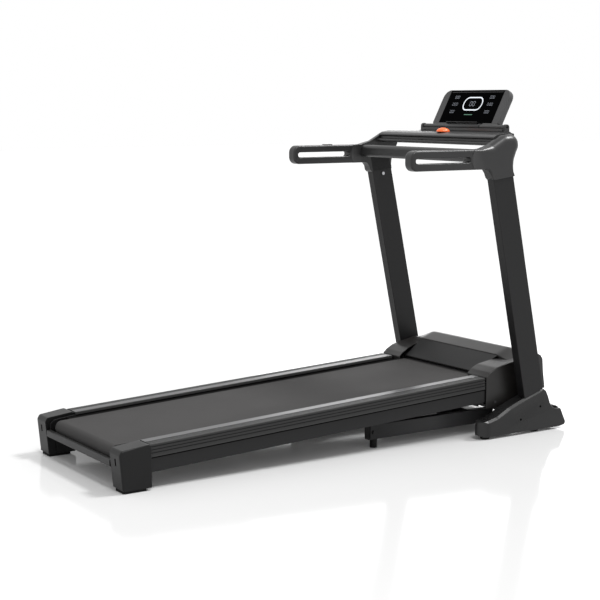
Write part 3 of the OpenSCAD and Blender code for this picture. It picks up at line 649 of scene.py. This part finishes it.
def hood_bridge():
    """Crowned bridge over the motor, level in the middle and falling away towards the wings."""
    foot, top, half, level = 250, 304, 316, 222
    profile = fillet([(1624.5, foot, 0.5), (1624.5, 280, 3), (1686, top, 30), (1712, 296, 22),
                      (1732, 272, 12), (1735, foot, 0.5)], 6)
    slices = 32
    rings = []
    # Past the level part the crown bends down over 20 mm, then falls by 0.4 mm a millimetre
    for step in range(-slices, slices + 1):
        x = half * math.sin(math.radians(step * 90 / slices))
        past = max(abs(x) - level, 0)
        crown = top - past * past / 100 if past < 20 else top - 4 - (past - 20) * 0.4
        ring = [Vector((p.x, foot + (p.y - foot) * (crown - foot) / (top - foot))) for p in profile]
        rings.append(place(ring, x, "X"))
    piece("hood_bridge", loft(rings), "deck", "plastic_black", (), FLOOR_PLAN, 35, HOOD_SHELL)


# ---- Base ----

COVER_OUTLINE = [(1413, 64, 6), (1455, 69, 30), (1499, 80, 40), (1556, 109, 60), (1604, 127, 60),
                 (1653, 143, 60), (1700, 157, 40), (1721, 163.5, 7), (1736, 152, 10), (1746, 132, 12),
                 (1757, 104, 12), (1768, 90, 10), (1781, 81.5, 10), (1811, 78.5, 7), (1838, 24, 5),
                 (1833, 13, 3), (1810, 9, 3), (1440, 9, 4), (1413, 22, 8)]
# Radius of the heads of the cover's screws
COVER_SCREW = 3.6 * MM


def base_cover(side, name):
    """Moulded cover round the foot of an upright: wide chamfer along the top, nose round in plan."""
    lo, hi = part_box("base_cover_right")
    inner, outer = lo.x / MM, hi.x / MM
    outline = fillet(COVER_OUTLINE, 4)
    # The wide chamfer follows the slope and stops short of both its ends
    chamfers = [8 if p.y > 66 and 1440 < p.x < 1716 else 2.2 for p in outline]
    body = mirrored(slab(outline, inner, outer, "X", 2, chamfers, 1), side)
    cover = piece(f"base_cover_{name}_skin", body, "base", "plastic_black", (f"base_cover_{name}",),
                  FLOOR_PLAN, 32, COVER_SATIN)
    middle, half = (inner + outer) / 2, (outer - inner) / 2 + 0.01
    nose_start, nose, behind, clear = 1468, 48, 1400, 5
    arc = [math.pi * k / 24 for k in range(25)]
    plan = [Vector((middle + half * math.cos(a), nose_start - nose * math.sin(a))) for a in arc]
    plan += [Vector((inner - clear, nose_start)), Vector((inner - clear, behind)),
             Vector((outer + clear, behind)), Vector((outer + clear, nose_start))]
    cut = mirrored(loft([place(plan, z, "Z") for z in (-5, 200)]), side)
    carve(cover, cut, f"base_cover_{name}_nose")
    wheel_lo, wheel_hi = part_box("wheel_right")
    centre = (wheel_lo + wheel_hi) / 2
    gap = 3
    reach = (wheel_hi.y - wheel_lo.y) / 2 / MM + gap
    well = bore(reach, wheel_lo.x / MM - gap, wheel_hi.x / MM + gap, centre.y, centre.z, 48)
    carve(cover, mirrored(well, side), f"base_cover_{name}_well")
    low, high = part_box("cover_screws")
    for y, z in ((low.y + COVER_SCREW, low.z + COVER_SCREW), (high.y - COVER_SCREW, high.z - COVER_SCREW)):
        sink = bore(COVER_SCREW / MM + 0.9, outer - 8, outer + 5, y, z, 32)
        carve(cover, mirrored(sink, side), f"base_cover_{name}_bore")


def wheel(name):
    """Transport wheel: soft tread with three grooves, dished hub with a raised boss."""
    lo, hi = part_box(f"wheel_{name}")
    centre = (lo + hi) / 2
    radius = (hi.z - lo.z) / 2 / MM
    half = (hi.x - lo.x) / 2 / MM
    tread = [(radius - 2.5, -half), (radius - 0.6, -half + 1.2), (radius, -half + 3)]
    for groove in (-4, 0, 4):
        tread += [(radius, groove - 1), (radius - 1.2, groove - 0.5), (radius - 1.2, groove + 0.5),
                  (radius, groove + 1)]
    tread += [(radius, half - 3), (radius - 0.6, half - 1.2), (radius - 2.5, half)]
    hub = [(radius - 8, half), (radius - 9, half - 4), (13, half - 4), (12, half), (5.1, half),
           (5.1, -half), (12, -half), (13, -half + 4), (radius - 9, -half + 4), (radius - 8, -half),
           (radius - 2.5, -half)]
    bm = loft(lathe(tread + hub, "X", 72), closed_ends=False)
    bmesh.ops.translate(bm, vec=centre, verts=bm.verts)
    piece(f"wheel_{name}_skin", bm, BODY_OF[f"wheel_{name}"], "rubber", (f"wheel_{name}",))


# ---- Handlebar ----

def arm(side, name):
    """Slotted grip: rounded bar outline with a long slot, all rims softly rounded."""
    lo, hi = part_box("arm_right")
    back, front = (lo.y - REAR_Y) / MM, (hi.y - REAR_Y) / MM
    steps = 10
    outer = rounded_box((back, lo.z / MM), (front, hi.z / MM), (27, 27, 0.6, 0.6), steps)
    slot = rounded_box((1104, 1014), (1346, 1033), [9.2] * 4, steps)
    bm = mirrored(framed_slab(outer, slot, lo.x / MM, hi.x / MM, "X", 7, 3.5, 5, front), side)
    grip = piece(f"arm_{name}_skin", bm, "base", "grip_plastic", (f"arm_{name}",), FLOOR_PLAN, 40)
    if side < 0:
        carve(grip, key_pockets(), "key_pockets")


def key_pockets():
    """Cutters round both speed keys, from below the keys to above the grip."""
    pockets = bmesh.new()
    around, below, above = 0.5, 2.5, 1070
    for node in ("key_plus", "key_minus"):
        lo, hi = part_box(node)
        low = (lo.x / MM - around, (lo.y - REAR_Y) / MM - around, lo.z / MM - below)
        high = (hi.x / MM + around, (hi.y - REAR_Y) / MM + around, above)
        add_block(pockets, low, high)
    return pockets


def shoulder(side, name):
    """Moulded corner between arm, console and upright, broadly rounded along its outer top edge."""
    lo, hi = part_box("shoulder_right")
    back, rim, foot_rim, extra = 1362, 7, 1.8, 23
    outline = fillet([(back, 988, 0), (back, 1059, 0), (1404, 1060.5, 60), (1447, 1073, 80),
                      (1483, 1092.5, 90), (1512, 1108, 60), (1580, 1113, 36), (1580, 1062, 30),
                      (1570, 1043, 40), (1557, 1018, 60), (1551, 998, 60), (1549, 980, 20),
                      (1552.5, 962, 2), (1456, 949.5, 2), (1448, 957, 8), (1441, 974, 10),
                      (1431, 986.5, 8), (1420, 988, 4)], 5)
    radii = []
    for p in outline:
        high = ramp(p.y, 1045, 30) * ramp(p.x, back, 90)
        ahead = ramp(p.y, 975, 60) * ramp(p.x, 1510, 30)
        radii.append((rim if p.y > 965 else foot_rim) + extra * max(high, ahead))
    bm = mirrored(slab(outline, lo.x / MM, hi.x / MM, "X", foot_rim, radii, 9, back), side)
    piece(f"shoulder_{name}_skin", bm, "base", "grip_plastic", (f"shoulder_{name}",), FLOOR_PLAN, 40)


def cross_tube():
    """Rounded tube from arm to arm."""
    lo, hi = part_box("cross_tube")
    outline = rounded_box((1400, 1011), (1438, 1058), (12, 14, 14, 12), 8)
    bm = slab(outline, lo.x / MM, hi.x / MM, "X", 0.5, 0.5, 2)
    piece("cross_tube_skin", bm, "base", "grip_plastic", ("cross_tube",), FLOOR_PLAN, 40)


# ---- Console ----

def console_bar():
    """Bar across the shoulders: round lower lip, dark recess above it, crowned top."""
    lo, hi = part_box("console_bar")
    outline = fillet([(1483, 1069, 3), (1477, 1072, 3), (1477, 1079, 3), (1482, 1082, 2),
                      (1491, 1083, 2), (1492, 1092, 2), (1485, 1095, 3), (1486, 1101, 5),
                      (1500, 1108, 20), (1530, 1113, 30), (1577, 1113, 4), (1581, 1109, 3),
                      (1581, 1069, 3)], 5)
    bm = slab(outline, lo.x / MM, hi.x / MM, "X", 0.5, 0.5, 2)
    piece("console_bar_skin", bm, "base", "plastic_black", ("console_bar",), FLOOR_PLAN, 30,
          MATERIALS["grip_plastic"])


def tray_lip():
    """Low wall along the tray, on the runner's side of the display."""
    bm = slab(rounded_box((1618.5, 1117), (1621.5, 1127), (0.5, 1.2, 1.2, 0.5), 3), -238, 238, "X",
              0.5, 0.5, 2)
    piece("tray_lip", bm, "base", "plastic_black", (), FLOOR_PLAN, 35, MATERIALS["grip_plastic"])


def display_housing():
    """Display case with a raised side bezel, a sunk window and rounded rear edges."""
    half = 195
    outer = rounded_box((-half, 12.5), (half, 156), (3, 34, 34, 3))
    # Rings from front to back: distance behind the hinge and how far the outline is drawn in
    stations = ((-3, 2.0), (-2.2, 0.8), (0.5, 0), (12, 0), (18, 1.5), (22, 5), (24, 11))
    rings = [place(inset(outer, [drawn] * len(outer)), depth, "Y") for depth, drawn in stations]
    housing = piece("display_housing_skin", loft(rings), "display", "plastic_black",
                    ("display_housing",), DISPLAY, 35, SIDE_BEZEL)
    window = bmesh.new()
    add_block(window, (-158, -10, 13.5), (158, -0.5, 153.5))
    carve(housing, window, "window", DISPLAY)
    sleeve = [(3.9, 101), (8, 101), (9, 102), (9, 235.5), (8, 236.5), (3.9, 236.5)]
    for side, name in SIDES:
        knuckle = loft(lathe(sleeve, "X", 40), closed_ends=False)
        add_block(knuckle, (108, -2.5, 5), (half - 4, 8.5, 14))
        piece(f"display_knuckle_{name}", mirrored(knuckle, side), "display", "plastic_black", (),
              DISPLAY, 35, MATERIALS["grip_plastic"])
    ledge = slab(rounded_box((-14, 11.5), (-1, 14.5), (0.8, 1.2, 0.5, 0.5), 3), -100, 86, "X", 0.8, 0.8, 2)
    piece("display_ledge", ledge, "display", "plastic_black", (), DISPLAY, 35)


# Strokes of a seven-segment zero as left, bottom, right and top shares of its width and height
ZERO_STROKES = ((0.12, 0.92, 0.88, 1.0), (0.86, 0.52, 1.0, 0.95), (0.86, 0.05, 1.0, 0.48),
                (0.12, 0.0, 0.88, 0.08), (0.0, 0.05, 0.14, 0.48), (0.0, 0.52, 0.14, 0.95))
# The readouts lie just in front of the lens; distances along Y of the display's space
READOUT_FRONT, READOUT_THICK = -2.95, 0.15


def add_digits(bm, text, x, z, width, height):
    """Adds a row of zeros and colons whose lower left corner is at x, z."""
    front, back = READOUT_FRONT, READOUT_FRONT + READOUT_THICK
    for letter in text:
        if letter == ":":
            for level in (0.25, 0.65):
                top = z + height * (level + 0.1)
                add_block(bm, (x, front, z + height * level), (x + width * 0.15, back, top))
            x += width * 0.45
        else:
            for left, bottom, right, top in ZERO_STROKES:
                add_block(bm, (x + left * width, front, z + bottom * height),
                          (x + right * width, back, z + top * height))
            x += width * 1.35


def display_graphics():
    """Ring readout in the middle, three small readouts at each side, a green progress line."""
    front, back = READOUT_FRONT, READOUT_FRONT + READOUT_THICK
    white = lit("readout_white", (0.85, 0.9, 0.95), 1.1)
    dim = lit("readout_dim", (0.65, 0.7, 0.8), 0.35)
    green = lit("readout_green", (0.25, 0.7, 0.45), 0.35)
    ring = rounded_box((-54, 67), (58, 125), [27] * 4, 12)
    hole = inset(ring, [5.0] * len(ring))
    bm = framed_slab(ring, hole, front, back, "Y", 0.02, 0.02, 1)
    piece("readout_ring", bm, "display", "display_gloss", (), DISPLAY, 35, white)
    bm = bmesh.new()
    add_digits(bm, "00", -16, 86, 13, 20)
    piece("readout_speed", bm, "display", "display_gloss", (), DISPLAY, 35, dim)
    bm = bmesh.new()
    for x in (-118, 88):
        for z, text in ((118, "000"), (88, "0:00"), (56, "000")):
            add_digits(bm, text, x, z, 7, 12)
    piece("readout_values", bm, "display", "display_gloss", (), DISPLAY, 35, dim)
    bm = bmesh.new()
    add_block(bm, (-24, front, 48), (24, back, 50.5))
    piece("readout_progress", bm, "display", "display_gloss", (), DISPLAY, 35, green)


def display_lens():
    """Black lens in the window, with a thin grey line along its top."""
    bm = slab(rounded_box((-157, 14.5), (157, 152.5), (1.5, 2, 2, 1.5), 3), -2.7, -0.6, "Y", 0.3, 0.3, 2)
    piece("display_lens", bm, "display", "display_gloss", ("display_glass",), DISPLAY, 35)
    bm = slab(rounded_box((-150, 145.2), (152, 146.6), [0.5] * 4, 2), -2.9, -2.5, "Y", 0.05, 0.05, 1)
    piece("lens_groove", bm, "display", "key_grey", (), DISPLAY, 35)


def safety_key():
    """Domed orange key on a short stem."""
    spot = Vector(JOINTS["safety_key_lift"]["pos_m"])
    dome = [(0.01, 0.3), (24.5, 0.3), (25.8, 1.5), (25.2, 4), (23, 7.6), (18.5, 10.8), (12, 13.6),
            (6, 15.2), (0.01, 15.8)]
    stem = [(0.01, -9), (8, -9), (8.7, -8), (8.7, 1), (0.01, 1)]
    bm = loft(lathe(dome, "Z", 56), closed_ends=False)
    join(bm, loft(lathe(stem, "Z", 32), closed_ends=False))
    piece("safety_key_skin", bm, BODY_OF["safety_key"], "key_orange", ("safety_key",),
          Matrix.Translation(spot), 40)


def quick_key(node):
    """Flat speed key with rounded corners and a soft top rim."""
    lo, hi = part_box(node)
    outline = rounded_box((lo.x / MM, lo.y / MM), (hi.x / MM, hi.y / MM), [3] * 4, 5)
    bm = slab(outline, lo.z / MM, hi.z / MM, "Z", 0.3, 1.5, 4)
    piece(f"{node}_skin", bm, BODY_OF[node], "key_grey", (node,), None, 35)


# ---- Stage ----

def add_floor():
    """Pale glossy floor with a slight glow, far wider than the view."""
    reach = 30
    corners = [(-reach, -reach, 0), (reach, -reach, 0), (reach, reach, 0), (-reach, reach, 0)]
    mesh = bpy.data.meshes.new("floor")
    mesh.from_pydata(corners, [], [(0, 1, 2, 3)])
    floor = bpy.data.objects.new("floor", mesh)
    bpy.context.scene.collection.objects.link(floor)
    material, shader = principled("studio_floor", (0.485, 0.485, 0.485), 0.1, specular=0.06)
    shader.inputs["Emission Color"].default_value = (1, 1, 1, 1)
    shader.inputs["Emission Strength"].default_value = 0.04
    mesh.materials.append(material)


def add_light():
    """White surroundings, two soft suns from above and a window behind the far side."""
    world = bpy.data.worlds.new("studio")
    bpy.context.scene.world = world
    world.use_nodes = True
    background = world.node_tree.nodes["Background"]
    background.inputs["Color"].default_value = (1, 1, 1, 1)
    background.inputs["Strength"].default_value = 1.0
    for name, direction, energy in (("key", (0.15, 0.54, 0.81), 2.4), ("rim", (0.38, -0.06, 0.9), 1.5)):
        sun = bpy.data.lights.new(name, "SUN")
        sun.energy = energy
        sun.angle = math.radians(12)
        lamp = bpy.data.objects.new(name, sun)
        lamp.rotation_euler = Vector(direction).to_track_quat("Z", "Y").to_euler()
        bpy.context.scene.collection.objects.link(lamp)
    window = bpy.data.lights.new("back_window", "AREA")
    window.shape = "RECTANGLE"
    window.size, window.size_y = 3.5, 1.8
    window.energy = 40
    lamp = bpy.data.objects.new("back_window", window)
    lamp.location = (-4.5, 4.5, 1.6)
    aim = Vector((0, 0.4, 0.3)) - lamp.location
    lamp.rotation_euler = aim.to_track_quat("-Z", "Y").to_euler()
    bpy.context.scene.collection.objects.link(lamp)


def add_camera():
    """The photo's camera: metres and degrees, found by matching the machine's own corners."""
    azimuth, elevation = math.radians(56.8388), math.radians(9.4755)
    data = bpy.data.cameras.new("camera")
    data.sensor_width = 36
    data.lens = 85.64
    data.shift_y = 0.0677
    camera = bpy.data.objects.new("camera", data)
    camera.location = (4.28818, -2.83325, 1.22312)
    camera.rotation_euler = (math.pi / 2 - elevation, 0, azimuth)
    bpy.context.scene.collection.objects.link(camera)
    bpy.context.scene.camera = camera


dress_cad_nodes()
for side, name in SIDES:
    rear_cap(side, name)
    side_rail(side, name)
    base_cover(side, name)
    wheel(name)
    arm(side, name)
    shoulder(side, name)
running_belt()
tension_screws()
rear_crossbar()
motor_hood()
hood_bridge()
cross_tube()
console_bar()
tray_lip()
display_housing()
display_lens()
display_graphics()
safety_key()
for node in ("key_plus", "key_minus"):
    quick_key(node)
add_floor()
add_light()
add_camera()
bpy.context.scene.view_settings.view_transform = "Standard"
